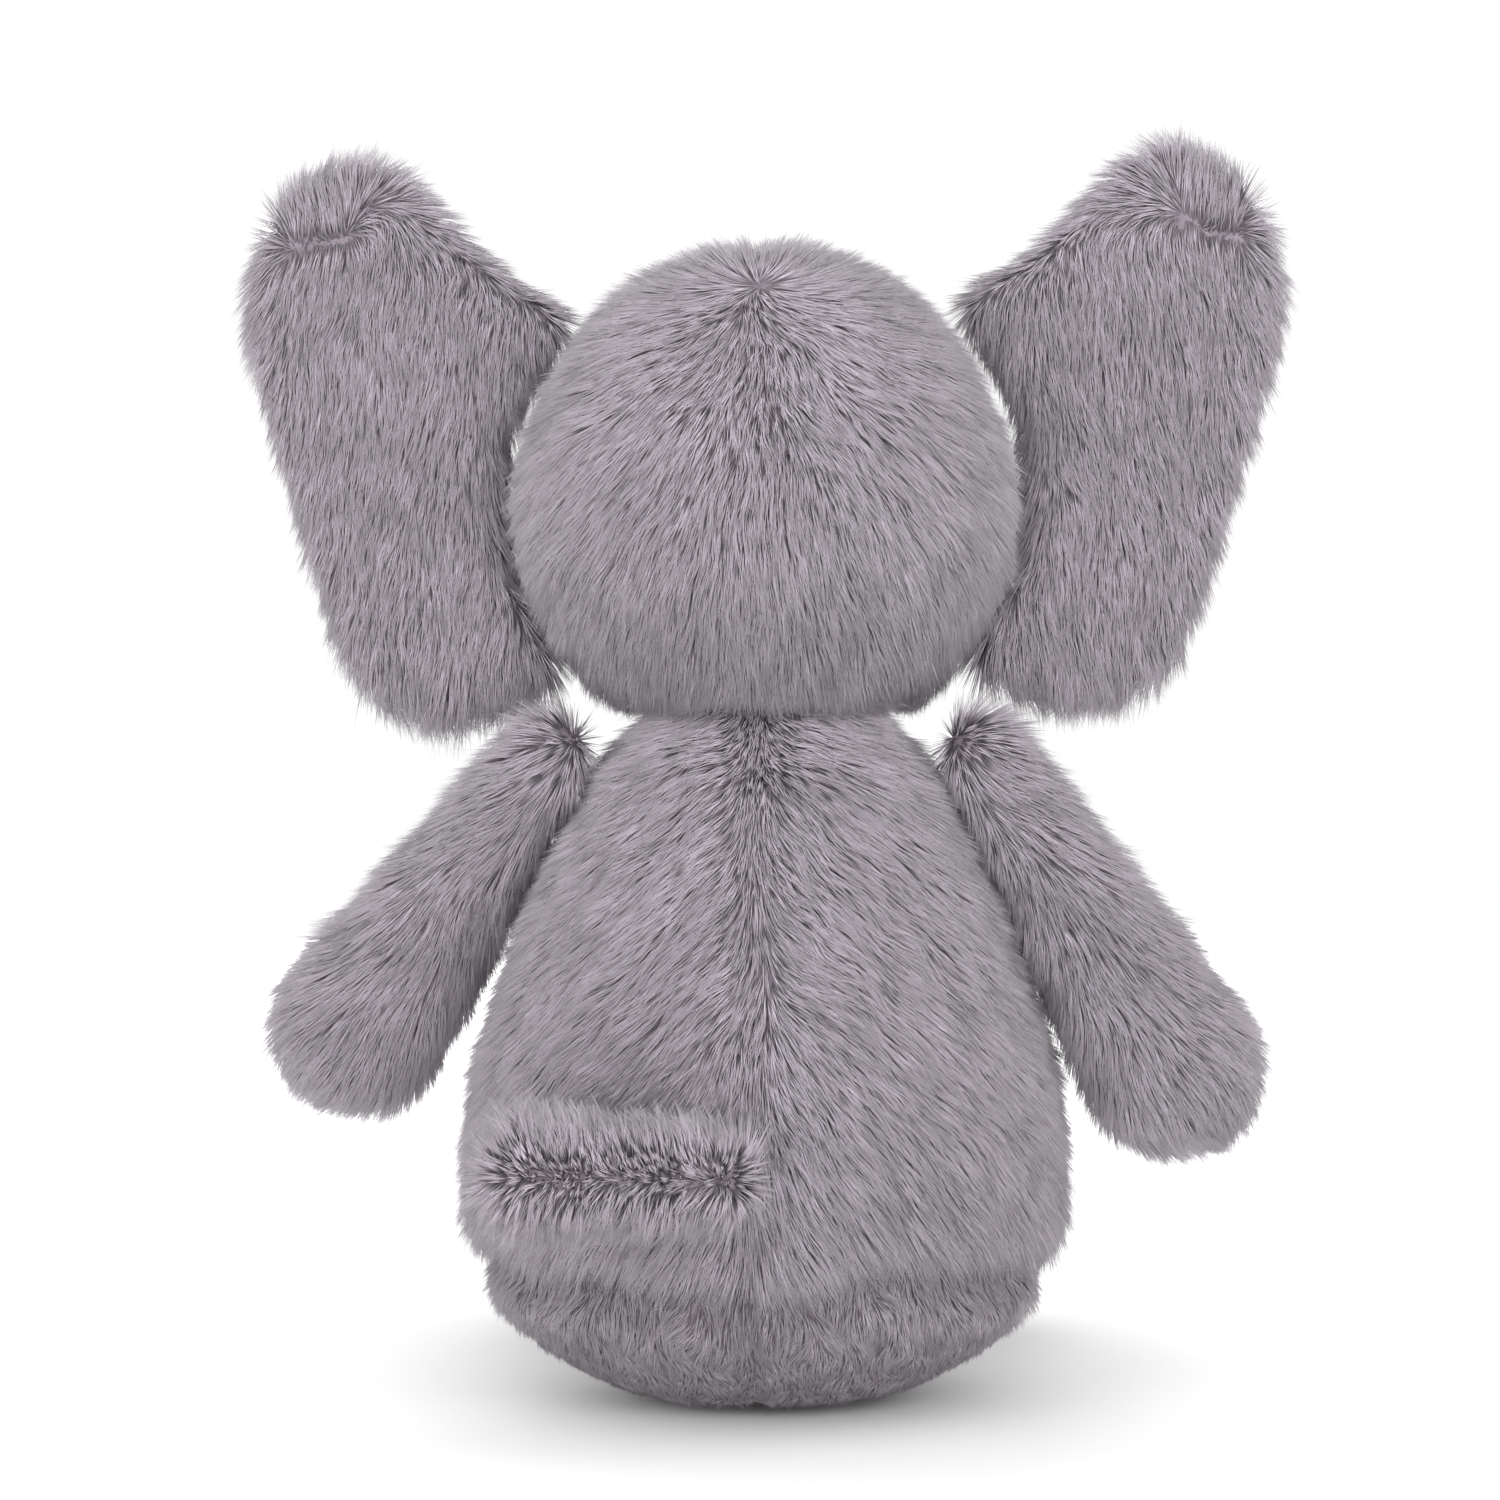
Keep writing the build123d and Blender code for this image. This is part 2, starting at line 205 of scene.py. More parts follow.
def hair():
    """One hair: a straight three-sided spike, one unit long."""
    shape = bmesh.new()
    bmesh.ops.create_cone(
        shape, cap_ends=True, segments=3, radius1=1, radius2=0, depth=1,
        matrix=Matrix.Translation((0, 0, 0.5)),
    )
    bmesh.ops.remove_doubles(shape, verts=shape.verts, dist=1e-5)
    data = bpy.data.meshes.new("hair")
    shape.to_mesh(data)
    shape.free()
    return data


HAIR = hair()


def hair_tables():
    """The hair's points and faces, and each face corner's place across and along it."""
    points = np.array([v.co for v in HAIR.vertices], float)
    corners = np.array([c.vertex_index for c in HAIR.loops])
    sizes = np.array([f.loop_total for f in HAIR.polygons])
    across = np.zeros(len(corners))
    lengthwise = points[corners, 2].copy()
    for face in HAIR.polygons:
        loops = list(face.loop_indices)
        rows = sorted({round(lengthwise[i], 3) for i in loops})
        if len(rows) == 1:              # the root's cap
            for i, loop in enumerate(loops):
                across[loop] = i / 2
                lengthwise[loop] = 0.06 * (i == 1)
            continue
        for row in rows:
            level = [i for i in loops if round(lengthwise[i], 3) == row]
            for i, loop in enumerate(level):
                across[loop] = 0.5 if len(level) == 1 else i
    return points, corners, sizes, across, lengthwise


HAIR_POINTS, HAIR_CORNERS, HAIR_SIZES, HAIR_ACROSS, HAIR_ALONG = hair_tables()


def scattered(piece, density, weight, draw):
    """Places on the piece's skin, density to the square mm, with their normals."""
    data = piece.data
    data.calc_loop_triangles()
    corners = np.zeros(len(data.loop_triangles) * 3, np.int32)
    data.loop_triangles.foreach_get("vertices", corners)
    corners = corners.reshape(-1, 3)
    points = points_of(piece)
    normals = points_of(piece, "normal")
    a, b, c = (points[corners[:, i]] for i in range(3))
    area = np.linalg.norm(np.cross(b - a, c - a), axis=1) / 2
    area = area * weight((a + b + c) / 3)
    count = int(area.sum() / MM**2 * density)
    chosen = draw.choice(len(area), count, p=area / area.sum())
    u, v = draw.random((2, count, 1))
    over = u + v > 1
    u, v = np.where(over, 1 - u, u), np.where(over, 1 - v, v)
    where = corners[chosen]
    place = points[where[:, 0]] * (1 - u - v) + points[where[:, 1]] * u
    place += points[where[:, 2]] * v
    normal = normals[where[:, 0]] * (1 - u - v) + normals[where[:, 1]] * u
    return place, unit(normal + normals[where[:, 2]] * v)


def locks(roots, draw):
    """The lock that each hair clings to: the nearest of some chosen hairs."""
    leaders = draw.choice(len(roots), max(len(roots) // LOCK, 1), replace=False)
    tree = kdtree.KDTree(len(leaders))
    for i, leader in enumerate(leaders):
        tree.insert(roots[leader], i)
    tree.balance()
    return np.array([leaders[tree.find(root)[1]] for root in roots])


def pile(
    piece, panels, comb, length, density=2.2, weight=None, lift=None, width=0.33,
    shade=None, shaggy=0.15, cling=0.5, trim=None, seed=0,
):
    """Grows the fur of a soft body and returns its pieces, one to a panel.

    comb gives each hair's way along the skin, length its length, lift the degrees
    that it stands off the skin, and panels the names of the pieces with the test for
    the roots that each one holds."""
    draw = np.random.default_rng(SEED + seed)
    weight = weight or (lambda p: np.ones(len(p)))
    roots, normals = scattered(piece, density, weight, draw)
    if trim is not None:
        kept = trim(roots)
        roots, normals = roots[kept], normals[kept]
    count = len(roots)
    # Which way each hair lies, how far it stands off the skin and where its tip comes
    way = along_surface(comb(roots, normals), normals)
    side = np.cross(normals, way)
    sway = 0.16 * wave(roots, 9 * MM, seed + 3) + shaggy * draw.normal(size=count)
    way = unit(way + side * sway[:, None])
    rise = 1 + 0.3 * wave(roots, 6 * MM, seed + 5) + 0.22 * draw.normal(size=count)
    angle = lift(roots) if lift else np.full(count, LIFT)
    angle = np.radians(angle * rise.clip(0.25, 2)).clip(0.05, 1.6)[:, None]
    size = length(roots) * (1 + 0.16 * draw.normal(size=count))
    size = size.clip(HAIR_MIN, HAIR_MAX)[:, None]
    tips = roots + size * (way * np.cos(angle) + normals * np.sin(angle))
    # The hairs of a lock lean towards the lock's leader, and none goes under the floor
    leader = locks(roots, draw)
    pull = (cling * draw.uniform(0.4, 1.3, count)).clip(0, 0.95)[:, None]
    gap = roots - roots[leader]
    tips = tips + pull * (tips[leader] + 0.12 * gap - tips)
    tips[:, 2] = np.maximum(tips[:, 2], 0.4 * MM)
    # The spike's own axes, turned at random about its stem
    stem = unit(tips - roots)
    out = unit(np.cross(stem, np.cross(normals, way)))
    flat = np.cross(out, stem)
    spin = draw.uniform(0, math.tau, count)[:, None]
    x_axis = flat * np.cos(spin) + out * np.sin(spin)
    y_axis = out * np.cos(spin) - flat * np.sin(spin)
    thick = (width * MM / 2 * draw.uniform(0.75, 1.3, count))[:, None]
    shapes = np.zeros((count, len(HAIR_POINTS), 3))
    for i, (px, py, pz) in enumerate(HAIR_POINTS):
        shapes[:, i] = roots + (tips - roots) * pz + (x_axis * px + y_axis * py) * thick
    # Shade varies from hair to hair, from lock to lock and slowly over the cloth
    tint = 0.5 + 0.15 * draw.normal(size=count)
    tint += 0.13 * draw.normal(size=count)[leader]
    tint += 0.08 * wave(roots, 14 * MM, seed + 8) + 0.06 * wave(roots, 4 * MM, seed + 9)
    # shade adds painted light and shade: darker hairs where shade falls, lighter ones where light falls
    if shade is not None:
        tint += shade(roots)
    strip = (tint.clip(0, 0.999) * SHADES).astype(int)
    shapes[:, :, 2] = np.maximum(shapes[:, :, 2], 0.3 * MM)
    made = []
    left = np.ones(count, bool)
    for name, holds in panels:
        mine = left & holds(roots)
        left &= ~mine
        made.append(hair_piece(name, shapes[mine], strip[mine]))
    return made


def hair_piece(name, shapes, strip):
    """One piece of pile from the places of its hairs' points and their strips of shade."""
    count = len(shapes)
    per = len(HAIR_POINTS)
    data = bpy.data.meshes.new(name)
    data.vertices.add(count * per)
    data.vertices.foreach_set("co", shapes.astype(np.float32).ravel())
    corners = (HAIR_CORNERS[None, :] + per * np.arange(count)[:, None]).ravel()
    data.loops.add(len(corners))
    data.loops.foreach_set("vertex_index", corners.astype(np.int32))
    sizes = np.tile(HAIR_SIZES, count)
    data.polygons.add(len(sizes))
    starts = np.concatenate([[0], np.cumsum(sizes)[:-1]])
    data.polygons.foreach_set("loop_start", starts.astype(np.int32))
    data.polygons.foreach_set("use_smooth", np.ones(len(sizes), bool))
    layer = data.uv_layers.new(name="OFBake")
    places = np.zeros((count, len(HAIR_CORNERS), 2), np.float32)
    # Each hair keeps inside its own strip: across its width in u, root to tip in v
    places[:, :, 0] = (strip[:, None] + 0.15 + 0.7 * HAIR_ACROSS[None, :]) / SHADES
    places[:, :, 1] = 0.01 + 0.98 * HAIR_ALONG[None, :]
    layer.data.foreach_set("uv", places.ravel())
    data.update(calc_edges=True)
    data.validate()
    piece = bpy.data.objects.new(name, data)
    bpy.context.scene.collection.objects.link(piece)
    return piece


# ---- materials -----------------------------------------------------------------

def linear(code):
    """An sRGB hex colour as linear red, green, blue and alpha."""
    parts = [int(code[i:i + 2], 16) / 255 for i in (1, 3, 5)]
    return [p / 12.92 if p <= 0.04045 else ((p + 0.055) / 1.055) ** 2.4 for p in parts] + [1.0]


def node(tree, kind, values=None, links=None, **settings):
    """Adds a node with its settings, input values and links."""
    made = tree.nodes.new(kind)
    for key, value in settings.items():
        setattr(made, key, value)
    for key, value in (values or {}).items():
        made.inputs[key].default_value = value
    for key, source in (links or {}).items():
        tree.links.new(source, made.inputs[key])
    return made


def material(name):
    made = bpy.data.materials.new(name)
    made.use_nodes = True
    made.node_tree.nodes.clear()
    return made, made.node_tree


def finish_with(tree, shader):
    node(tree, "ShaderNodeOutputMaterial", links={"Surface": shader.outputs[0]})


def ramp(tree, source, stops):
    """A colour ramp along a value, from (place, colour) stops."""
    made = node(tree, "ShaderNodeValToRGB", links={"Fac": source})
    band = made.color_ramp
    band.elements[0].position, band.elements[0].color = stops[0][0], stops[0][1]
    band.elements[1].position, band.elements[1].color = stops[-1][0], stops[-1][1]
    for place, colour in stops[1:-1]:
        band.elements.new(place).color = colour
    return made.outputs["Color"]


def pile_material(name, root, stem, tip, dark, light):
    """Acrylic pile: dull soft hairs, dark down at the backing and paler at their tips."""
    made, tree = material(name)
    place = node(tree, "ShaderNodeUVMap", uv_map="OFBake")
    parts = node(tree, "ShaderNodeSeparateXYZ", links={0: place.outputs[0]})
    length = ramp(
        tree, parts.outputs["Y"], [(0.0, linear(root)), (0.42, linear(stem)), (1.0, linear(tip))],
    )
    # The strip's tone, from dark to light: random tone and the painted light and shade set in pile()
    shade = ramp(tree, parts.outputs["X"], [(0.0, linear(dark)), (1.0, linear(light))])
    mixed = node(
        tree, "ShaderNodeMix", {0: 1.0}, {6: length, 7: shade},
        data_type="RGBA", blend_type="MULTIPLY",
    )
    shader = node(
        tree, "ShaderNodeBsdfPrincipled",
        {"Roughness": 0.72, "IOR": 1.5, "Specular IOR Level": 0.25, "Sheen Weight": 0.15,
         "Sheen Roughness": 0.5},
        {"Base Color": mixed.outputs[2]},
    )
    finish_with(tree, shader)
    return made


def backing_material(name, low, high):
    """Knitted backing cloth under the pile: dull, a little mottled, stitches 1 mm apart."""
    made, tree = material(name)
    place = node(tree, "ShaderNodeTexCoord")
    mottle = node(
        tree, "ShaderNodeTexNoise", {"Scale": 1 / (6 * MM), "Detail": 3.0},
        {"Vector": place.outputs["Object"]},
    )
    stitch = node(
        tree, "ShaderNodeTexVoronoi", {"Scale": 1 / (1 * MM)}, {"Vector": place.outputs["Object"]},
    )
    colour = ramp(tree, mottle.outputs["Fac"], [(0.3, linear(low)), (0.7, linear(high))])
    bump = node(
        tree, "ShaderNodeBump", {"Strength": 0.4, "Distance": 0.3 * MM},
        {"Height": stitch.outputs["Distance"]},
    )
    shader = node(
        tree, "ShaderNodeBsdfPrincipled",
        {"Roughness": 0.9, "Specular IOR Level": 0.15, "Sheen Weight": 0.1, "Sheen Roughness": 0.6},
        {"Base Color": colour, "Normal": bump.outputs[0]},
    )
    finish_with(tree, shader)
    return made


def plastic_material(name, low, high, roughness, coat):
    """Moulded plastic, polished or dull, with faint unevenness from handling."""
    made, tree = material(name)
    place = node(tree, "ShaderNodeTexCoord")
    cloud = node(
        tree, "ShaderNodeTexNoise", {"Scale": 1 / (4 * MM), "Detail": 4.0},
        {"Vector": place.outputs["Object"]},
    )
    colour = ramp(tree, cloud.outputs["Fac"], [(0.35, linear(low)), (0.65, linear(high))])
    shader = node(
        tree, "ShaderNodeBsdfPrincipled",
        {"Roughness": roughness, "IOR": 1.49, "Coat Weight": coat, "Coat Roughness": 0.03},
        {"Base Color": colour},
    )
    finish_with(tree, shader)
    return made


GREY_PILE = pile_material("grey_acrylic_pile", "#857c85", "#d5ccd6", "#e9e0ea", "#b4b4b4", "#ffffff")
PALE_PILE = pile_material("blush_plush_pile", "#c4aeb0", "#f0e0e1", "#f7ecec", "#cfcfcf", "#ffffff")
GREY_BACKING = backing_material("grey_knit_backing", "#786e77", "#8b818a")
EYE_PLASTIC = plastic_material("polished_black_acrylic", "#050505", "#0b0b0c", 0.12, 0.6)
WASHER_PLASTIC = plastic_material("moulded_white_nylon", "#d8d8d4", "#e4e4e0", 0.5, 0.0)


def dress(pieces, finish, attach, nodes=()):
    """Gives pieces their material and slot, hands them to attach (a body to ride, or their place baked
    in), and hides the CAD nodes they stand for.
    """
    for piece in pieces:
        piece.data.materials.clear()
        piece.data.materials.append(finish)
        attach(piece)
    if nodes:
        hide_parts(*nodes)


def paint(name, finish):
    """Gives a CAD node that is seen as it is a better material."""
    data = frame["nodes"][name].data
    data.materials.clear()
    data.materials.append(finish)


def everywhere(points):
    return np.ones(len(points), bool)


def rides(body):
    return lambda piece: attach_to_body(piece, body)


def bends():
    return lambda piece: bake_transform(piece)


# ---- torso ---------------------------------------------------------------------

BACK_SEAM_X = 3 * MM
BASE_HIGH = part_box("base_panel")[1]
SCAR = np.array((-1 * MM, BASE_HIGH.y, 104 * MM))   # where the filling hole was sewn shut


def base_seam(points):
    """Height above the wavy seam between the body and its seat panel."""
    turn = np.arctan2(points[:, 1], points[:, 0])
    wavy = 2.0 * np.sin(3 * turn + 0.6) + 1.5 * np.sin(7 * turn) + 0.8 * np.sin(13 * turn + 2)
    return points[:, 2] - BASE_HIGH.z - wavy * MM


def torso_comb(points, normals):
    x = points[:, 0] - BACK_SEAM_X
    below = base_seam(points) < 0
    slant = np.tanh(x / (4 * MM)) * np.where(points[:, 1] > 0, 0.5, 0.25)
    way = np.stack([slant, 0 * x, -np.ones(len(x))], 1)
    off = points - SCAR
    near = np.exp(-(np.linalg.norm(off, axis=1) / (13 * MM)) ** 2)[:, None]
    way = way + 2.2 * near * unit(off)
    outward = unit(points * (1, 1, 0))
    seat = -0.2 * outward + np.array((0, 0, -1.0)) + 0.55 * np.stack(
        [wave(points, 6 * MM, 41), wave(points, 6 * MM, 42), wave(points, 6 * MM, 43)], 1
    )
    return np.where(below[:, None], seat, way)


# Painted light and shade in the torso's pile: painted shade under the hem, along the back parting and
# in patches on the seat, and a painted highlight along the hem
def torso_painted_light_and_shade(points):
    seam = base_seam(points)
    # painted shade on the seat just below the hem, where the overhanging fur shades it
    under = -0.32 * np.exp(-((seam + 9 * MM) / (5 * MM)) ** 2)
    # painted shade along the parting down the back seam
    parting = -0.10 * np.exp(-((points[:, 0] - BACK_SEAM_X) / (2 * MM)) ** 2) * (points[:, 1] > 0)
    # patchy painted shade among the tufts of the seat and the foot of the hem
    seat_patch_shade = -0.3 * np.clip(wave(points, 7 * MM, 44) - 0.2, 0, 1) * (seam < 2 * MM)
    # with a painted highlight along the hem, just above the seat seam
    return under + parting + seat_patch_shade + 0.12 * np.exp(-((seam - 3 * MM) / (4 * MM)) ** 2)


def torso_length(points):
    seam = base_seam(points)
    hem = np.exp(-((seam - 3 * MM) / (8 * MM)) ** 2)
    low = np.clip(points[:, 2] / (28 * MM), 0.45, 1)
    return np.where(seam < 0, 6.5 * low, GREY_LENGTH + 3.0 * hem) * MM


def make_torso():
    skins = ["torso_back_left", "torso_back_right", "torso_belly", "base_panel"]
    body = soft_body("torso_body", hull(skins + ["neck_plug"]), smooth=3)
    crease(body, 1.0 * MM, 3 * MM, lambda p: np.where(p[:, 1] > 0, p[:, 0] - BACK_SEAM_X, 1))
    crease(body, 4.0 * MM, 7 * MM, lambda p: base_seam(p) + 7 * MM)
    inside = ["torso_stuffing", "bean_pouch", "bean_pellets", "neck_plug"]
    dress([body], GREY_BACKING, rides("torso"), inside)
    panels = [
        ("base_panel_pile", lambda p: base_seam(p) < 0),
        ("torso_belly_pile", lambda p: p[:, 1] < 0),
        ("torso_back_left_pile", lambda p: p[:, 0] > BACK_SEAM_X),
        ("torso_back_right_pile", everywhere),
    ]
    fur = pile(
        body, panels, torso_comb, torso_length, density=2.3, shade=torso_painted_light_and_shade, seed=100,
        weight=lambda p: np.where(p[:, 2] < 4 * MM, 0.25, np.where(p[:, 1] < -10 * MM, 0.55, 1.1)),
    )
    cads = ["base_panel", "torso_belly", "torso_back_left", "torso_back_right"]
    for piece, cad in zip(fur, cads):
        dress([piece], GREY_PILE, rides("torso"), [cad])


# ---- head ----------------------------------------------------------------------

CROWN = np.array((2 * MM, 30 * MM, 266 * MM))       # where the head's fur parts
EYE_OUT = 24.5 * MM                                 # from the middle of the face
EYE_CLEAR = 8.5 * MM                                # no fur grows nearer to an eye


def near_crown(points):
    return np.exp(-(np.linalg.norm(points - CROWN, axis=1) / (9 * MM)) ** 2)


def eye_front(side):
    low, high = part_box("eye_left" if side > 0 else "eye_right")
    return np.array((side * EYE_OUT, low.y, (low.z + high.z) / 2))


def head_comb(points, normals):
    way = away_from(points, CROWN) * 1.2
    way[:, 2] -= 0.5
    spread = np.tanh((points[:, 0] - CROWN[0]) / (20 * MM)) * 0.25
    way[:, 0] += spread
    for side in (1, -1):
        off = points - eye_front(side)
        near = np.exp(-(np.linalg.norm(off, axis=1) / (12 * MM)) ** 2)[:, None]
        way = way + 2.5 * near * unit(off)
    return way


def head_length(points):
    face = np.clip(-points[:, 1] / (50 * MM), 0, 1)
    size = GREY_LENGTH - 2.5 * face
    for side in (1, -1):
        near = np.exp(-(np.linalg.norm(points - eye_front(side), axis=1) / (13 * MM)) ** 2)
        size = size * (1 - 0.55 * near)
    return size * MM


def clear_of_eyes(points):
    return np.all([
        np.linalg.norm((points - eye_front(side)), axis=1) > EYE_CLEAR for side in (1, -1)
    ], axis=0)


def make_head():
    skins = [
        "head_back_left", "head_back_right", "face_left", "face_right", "forehead_gusset", "chin_panel",
    ]
    body = soft_body("head_body", hull(skins), smooth=3, sink=1.8 * MM)
    dress([body], GREY_BACKING, rides("head"), ["head_stuffing"])
    seam_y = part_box("head_back_left")[0].y
    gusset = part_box("forehead_gusset")[1].x
    chin_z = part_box("chin_panel")[1].z
    panels = [
        ("head_back_left_pile", lambda p: (p[:, 1] > seam_y) & (p[:, 0] > CROWN[0])),
        ("head_back_right_pile", lambda p: p[:, 1] > seam_y),
        ("face_left_pile", lambda p: p[:, 0] > gusset),
        ("face_right_pile", lambda p: p[:, 0] < -gusset),
        ("chin_panel_pile", lambda p: p[:, 2] < chin_z),
        ("forehead_gusset_pile", everywhere),
    ]
    fur = pile(
        body, panels, head_comb, head_length, density=2.3,
        # The fur round the crown is painted lighter: a painted highlight on the top of the head
        shade=lambda p: 0.15 * near_crown(p), lift=lambda p: LIFT - 12 * near_crown(p),
        trim=clear_of_eyes, seed=200, weight=lambda p: np.where(p[:, 1] < -10 * MM, 0.75, 1.1),
    )
    cads = [
        "head_back_left", "head_back_right", "face_left", "face_right", "chin_panel", "forehead_gusset",
    ]
    for piece, cad in zip(fur, cads):
        dress([piece], GREY_PILE, rides("head"), [cad])
    for name in ("eye_left", "eye_right"):
        paint(name, EYE_PLASTIC)
    for name in ("eye_washer_left", "eye_washer_right"):
        paint(name, WASHER_PLASTIC)


# ---- limbs, trunk and tail -----------------------------------------------------

def limb_comb(start, way, aside=(0.0, 0.0, 0.0)):
    """Fur that lies along a limb, turned aside where the limb starts."""
    way = np.asarray(way, float)

    def comb(points, normals):
        near = np.exp(-(((points - start) @ way) / (20 * MM)).clip(0) ** 2)[:, None]
        return way[None, :] + near * np.asarray(aside, float)

    return comb


def make_arm(side, name):
    joint = pivot(f"arm_{name}_swing")
    hand = middle(f"arm_{name}_stuffing")
    way = (hand - joint) / np.linalg.norm(hand - joint)
    skins = [f"arm_{name}_outer_panel", f"arm_{name}_inner_panel"]
    body = soft_body(f"arm_{name}_body", hull(skins), smooth=2)
    attach = bends()
    dress([body], GREY_BACKING, attach, [f"arm_{name}_stuffing"])
    slope = way[0] / -way[2]

    def outside(p):
        return side * (p[:, 0] - joint[0]) > side * slope * (joint[2] - p[:, 2])

    panels = [
        (f"arm_{name}_outer_pile", outside),
        (f"arm_{name}_inner_pile", everywhere),
    ]
    fur = pile(
        body, panels, limb_comb(joint, way, (0.8 * side, 0, 0.2)),
        lambda p: np.full(len(p), GREY_LENGTH * MM),
        density=2.3, seed=300 + side,
    )
    for piece, cad in zip(fur, skins):
        dress([piece], GREY_PILE, attach, [cad])


def make_leg(side, name):
    joint = pivot(f"leg_{name}_swing")
    foot = middle(f"leg_{name}_sole")
    way = (foot - joint) / np.linalg.norm(foot - joint)
    skins = [f"leg_{name}_top_panel", f"leg_{name}_under_panel"]
    body = soft_body(f"leg_{name}_body", hull(skins + [f"leg_{name}_sole"]), smooth=2)
    attach = bends()
    dress([body], GREY_BACKING, attach, [f"leg_{name}_stuffing"])
    end = (foot - joint) @ way

    def on_sole(p):
        return (p - joint) @ way > end - 3.5 * MM

    panels = [
        (f"leg_{name}_top_pile", lambda p: p[:, 2] > joint[2] + ((p - joint) @ way) * way[2]),
        (f"leg_{name}_under_pile", everywhere),
    ]
    fur = pile(
        body, panels, limb_comb(joint, way), lambda p: np.full(len(p), 9 * MM),
        density=1.5, trim=lambda p: ~on_sole(p), seed=400 + side,
    )
    for piece, cad in zip(fur, skins):
        dress([piece], GREY_PILE, attach, [cad])
    sole = pile(
        body, [(f"leg_{name}_sole_pile", everywhere)],
        lambda p, n: np.tile((0.0, 0.0, -1.0), (len(p), 1)), lambda p: np.full(len(p), 4.5 * MM),
        density=3.0, trim=on_sole, lift=lambda p: np.full(len(p), 55.0), seed=420 + side,
    )
    dress(sole, PALE_PILE, attach, [f"leg_{name}_sole"])


def make_trunk():
    first = pivot("trunk_curl")
    second = pivot("trunk_tip_curl")
    tip = middle("trunk_tip_skin")
    upper = hull(["trunk_root_skin"])
    lower = hull(["trunk_middle_skin"])
    spare = bpy.data.meshes.new("spare")
    lower.to_mesh(spare)
    upper.from_mesh(spare)
    lower.free()
    bpy.data.meshes.remove(spare)
    way = unit((second - first)[None])[0]
    end = unit((tip - second)[None])[0]
    body = soft_body("trunk_upper_body", upper, voxel=3 * MM, smooth=3, cap=1.5 * MM)
    attach = bends()
    dress([body], GREY_BACKING, attach, ["trunk_root_stuffing", "trunk_middle_stuffing"])
    fur = pile(
        body, [("trunk_upper_pile", everywhere)], limb_comb(first, way),
        lambda p: np.full(len(p), 7 * MM), seed=500,
    )
    dress(fur, GREY_PILE, attach, ["trunk_root_skin", "trunk_middle_skin"])
    body = soft_body("trunk_tip_body", hull(["trunk_tip_skin"]), voxel=3 * MM, smooth=2, cap=1.5 * MM)
    attach = bends()
    dress([body], GREY_BACKING, attach, ["trunk_tip_stuffing"])
    fur = pile(
        body, [("trunk_tip_pile", everywhere)], limb_comb(second, end),
        lambda p: np.full(len(p), 7 * MM), seed=510,
    )
    dress(fur, GREY_PILE, attach, ["trunk_tip_skin"])


def make_tail():
    root = pivot("tail_swing")
    way = unit((middle("tail_stuffing") - root)[None])[0]
    body = soft_body("tail_body", hull(["tail_skin"]), voxel=3 * MM, smooth=2, cap=1.5 * MM)
    dress([body], GREY_BACKING, rides("tail"), ["tail_stuffing"])
    back = -np.cross((0, 0, 1.0), way)
    if back[1] < 0:
        back = -back

    def parting(points):
        """How near the points are to the line along which the tail's fur parts."""
        off = points - root
        wander = off[:, 2] - 1.5 * MM - 3 * MM * wave(points, 9 * MM, 61)
        end = np.clip((60 * MM - off @ way) / (14 * MM), 0, 1)
        return end * np.exp(-(wander / (7.5 * MM)) ** 2) * (off @ back > 1 * MM)

    def comb(points, normals):
        up = np.tanh((points - root)[:, 2] / (2.5 * MM))[:, None] * np.array((0, 0, 1.0))
        return up + 0.35 * way[None, :]

    fur = pile(
        body, [("tail_pile", everywhere)], comb, lambda p: (11.5 - 5.0 * parting(p)) * MM,
        # Hairs along the parting are painted darker in patches: painted shade in the gap where the fur
        # parts
        density=4.0, shade=lambda p: -0.22 * parting(p) * (0.4 + wave(p, 5 * MM, 62)),
        lift=lambda p: 30 + 50 * parting(p), cling=0.85, shaggy=0.35, seed=600,
    )
    dress(fur, GREY_PILE, rides("tail"), ["tail_skin"])


# ---- ears ----------------------------------------------------------------------

SPREAD = 0.012 / MM * 0.6     # how fast the ear's fur turns outwards with distance


def ear_frame(side, name):
    """The ear's hinge, the way out along it, and the way to its back."""
    hinge = pivot(f"ear_{name}_flap")
    outer = middle(f"ear_{name}_outer_panel")
    inner = middle(f"ear_{name}_inner_panel")
    back = unit((outer - inner)[None])[0]
    out = unit(np.cross(back, (0, 0, 1.0))[None])[0]
    return hinge, out if out[0] * side > 0 else -out, back


